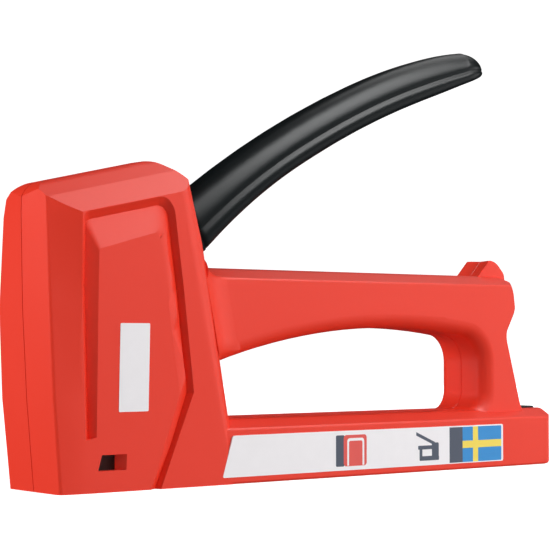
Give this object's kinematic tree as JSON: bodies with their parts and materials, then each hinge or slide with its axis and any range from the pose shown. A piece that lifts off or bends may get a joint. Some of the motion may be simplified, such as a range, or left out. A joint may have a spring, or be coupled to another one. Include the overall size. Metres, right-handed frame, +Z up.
{
  "type": "hand staple gun",
  "caption": "Hand-squeezed staple gun: two-part plastic housing with a tall head, a finger opening and a long lever above the handle; the steel magazine pulls out at the rear.",
  "frame": {"origin": "staple exit: middle of the driver blade's line of travel, in the plane of the base's underside", "axes": "+X from the nose to the rear end, +Z up from the underside, Y across with the housing's parting plane at Y = 0"},
  "size_m": [0.1953, 0.0332, 0.1366],
  "materials": {
    "red_plastic": "fine moulded grain, satin",
    "black_plastic": "textured, satin",
    "dark_plastic": "smooth, matt",
    "bright_steel": "ground",
    "plated_steel": "zinc plated",
    "spring_steel": "oiled",
    "staple_steel": "galvanised, lightly glued",
    "rubber": "matt"
  },
  "bodies": {
    "housing": {"left_housing": "red_plastic", "right_housing": "red_plastic", "housing_screws": "plated_steel", "pivot_pin": "bright_steel", "spring_seat": "plated_steel", "bumper": "rubber", "nose_guide": "plated_steel", "magazine_channel": "plated_steel", "power_spring": "spring_steel", "lever_spring": "spring_steel"},
    "lever": {"lever": "black_plastic", "lift_arm": "plated_steel", "lifting_pin": "bright_steel", "arm_rivet": "bright_steel"},
    "hammer": {"hammer": "bright_steel", "driver_blade": "bright_steel"},
    "magazine": {"magazine_rail": "plated_steel", "staple_strip": "staple_steel", "pusher_rod": "bright_steel", "magazine_end": "dark_plastic", "pusher_spring": "spring_steel", "latch_spring": "spring_steel"},
    "pusher": {"pusher": "plated_steel"},
    "latch": {"magazine_latch": "dark_plastic"}
  },
  "joints": [
    {"name": "lever_squeeze", "type": "hinge", "parent": "housing", "child": "lever", "pos_m": [0.0365, 0, 0.063], "axis": [0, 1, 0], "range_deg": [0, 27], "stiffness_Nm_per_rad": 0.8, "springref_deg": -28.65, "deforming": ["lever_spring"]},
    {"name": "hammer_lift", "type": "slide", "parent": "housing", "child": "hammer", "axis": [0, 0, 1], "range_m": [0, 0.0128], "stiffness_N_per_m": 300, "springref_m": -0.012, "deforming": ["power_spring"]},
    {"name": "magazine_slide", "type": "slide", "parent": "housing", "child": "magazine", "axis": [1, 0, 0], "range_m": [0, 0.11]},
    {"name": "pusher_slide", "type": "slide", "parent": "magazine", "child": "pusher", "axis": [1, 0, 0], "range_m": [0, 0.06], "stiffness_N_per_m": 60, "springref_m": -0.05, "deforming": ["pusher_spring"]},
    {"name": "latch_press", "type": "slide", "parent": "magazine", "child": "latch", "axis": [0, 0, -1], "range_m": [0, 0.0012], "stiffness_N_per_m": 800, "springref_m": -0.001, "deforming": ["latch_spring"]}
  ],
  "couplings": [
    {"joint": "hammer_lift", "follows": "lever_squeeze", "m_per_rad": 0.027073}
  ]
}
